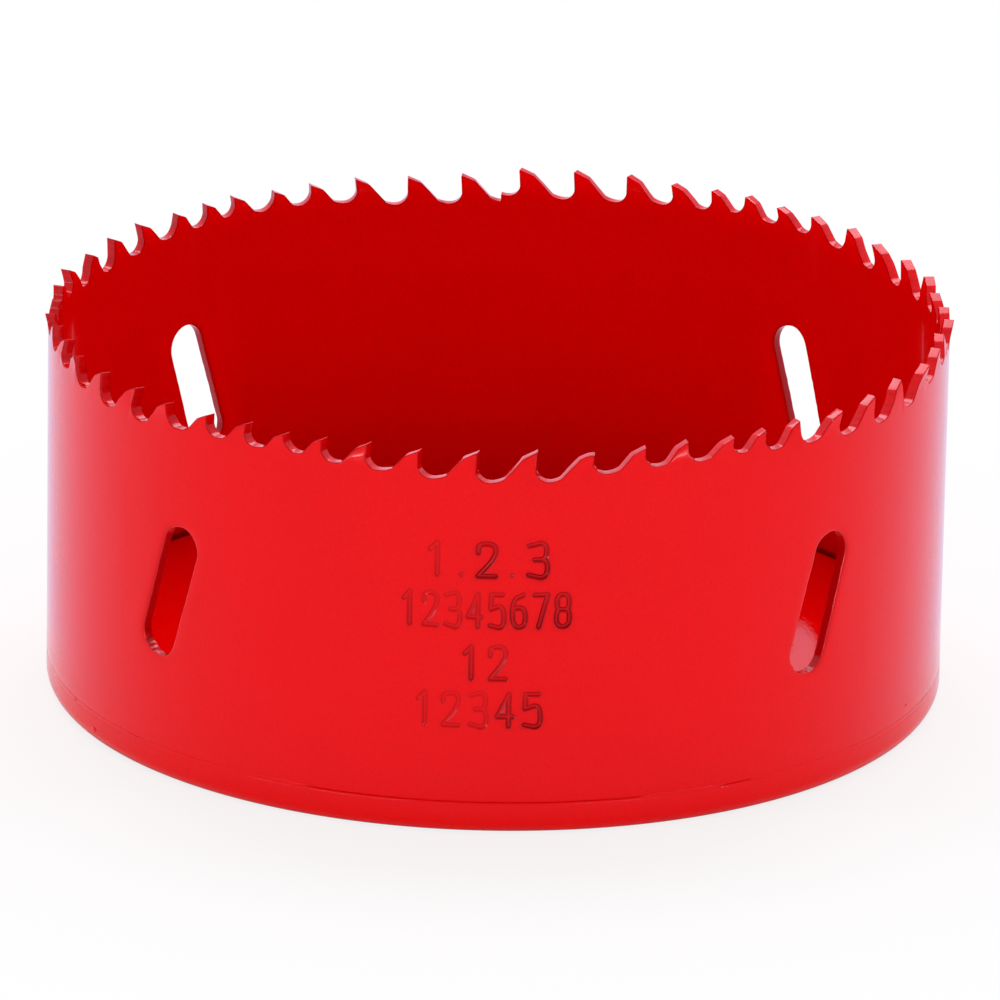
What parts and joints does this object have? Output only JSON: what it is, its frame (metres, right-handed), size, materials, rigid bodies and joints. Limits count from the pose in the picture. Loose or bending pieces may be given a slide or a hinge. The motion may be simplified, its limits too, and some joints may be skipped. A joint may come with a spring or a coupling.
{
  "type": "hole saw",
  "caption": "Hole saw: a toothed steel band rolled into an open ring with leaning chip slots, welded to a round disc with a threaded arbor hole and drive-pin holes.",
  "frame": {"origin": "centre of the backing disc's bottom face, on the saw's axis", "axes": "+Z along the saw's axis towards the teeth; -Y faces the front of the band, and the band's butt weld is at +Y"},
  "size_m": [0.1016, 0.101, 0.0449],
  "materials": {
    "red_enamel": "gloss"
  },
  "bodies": {
    "root": {"toothed_band": "red_enamel", "backing_cap": "red_enamel"}
  },
  "joints": []
}
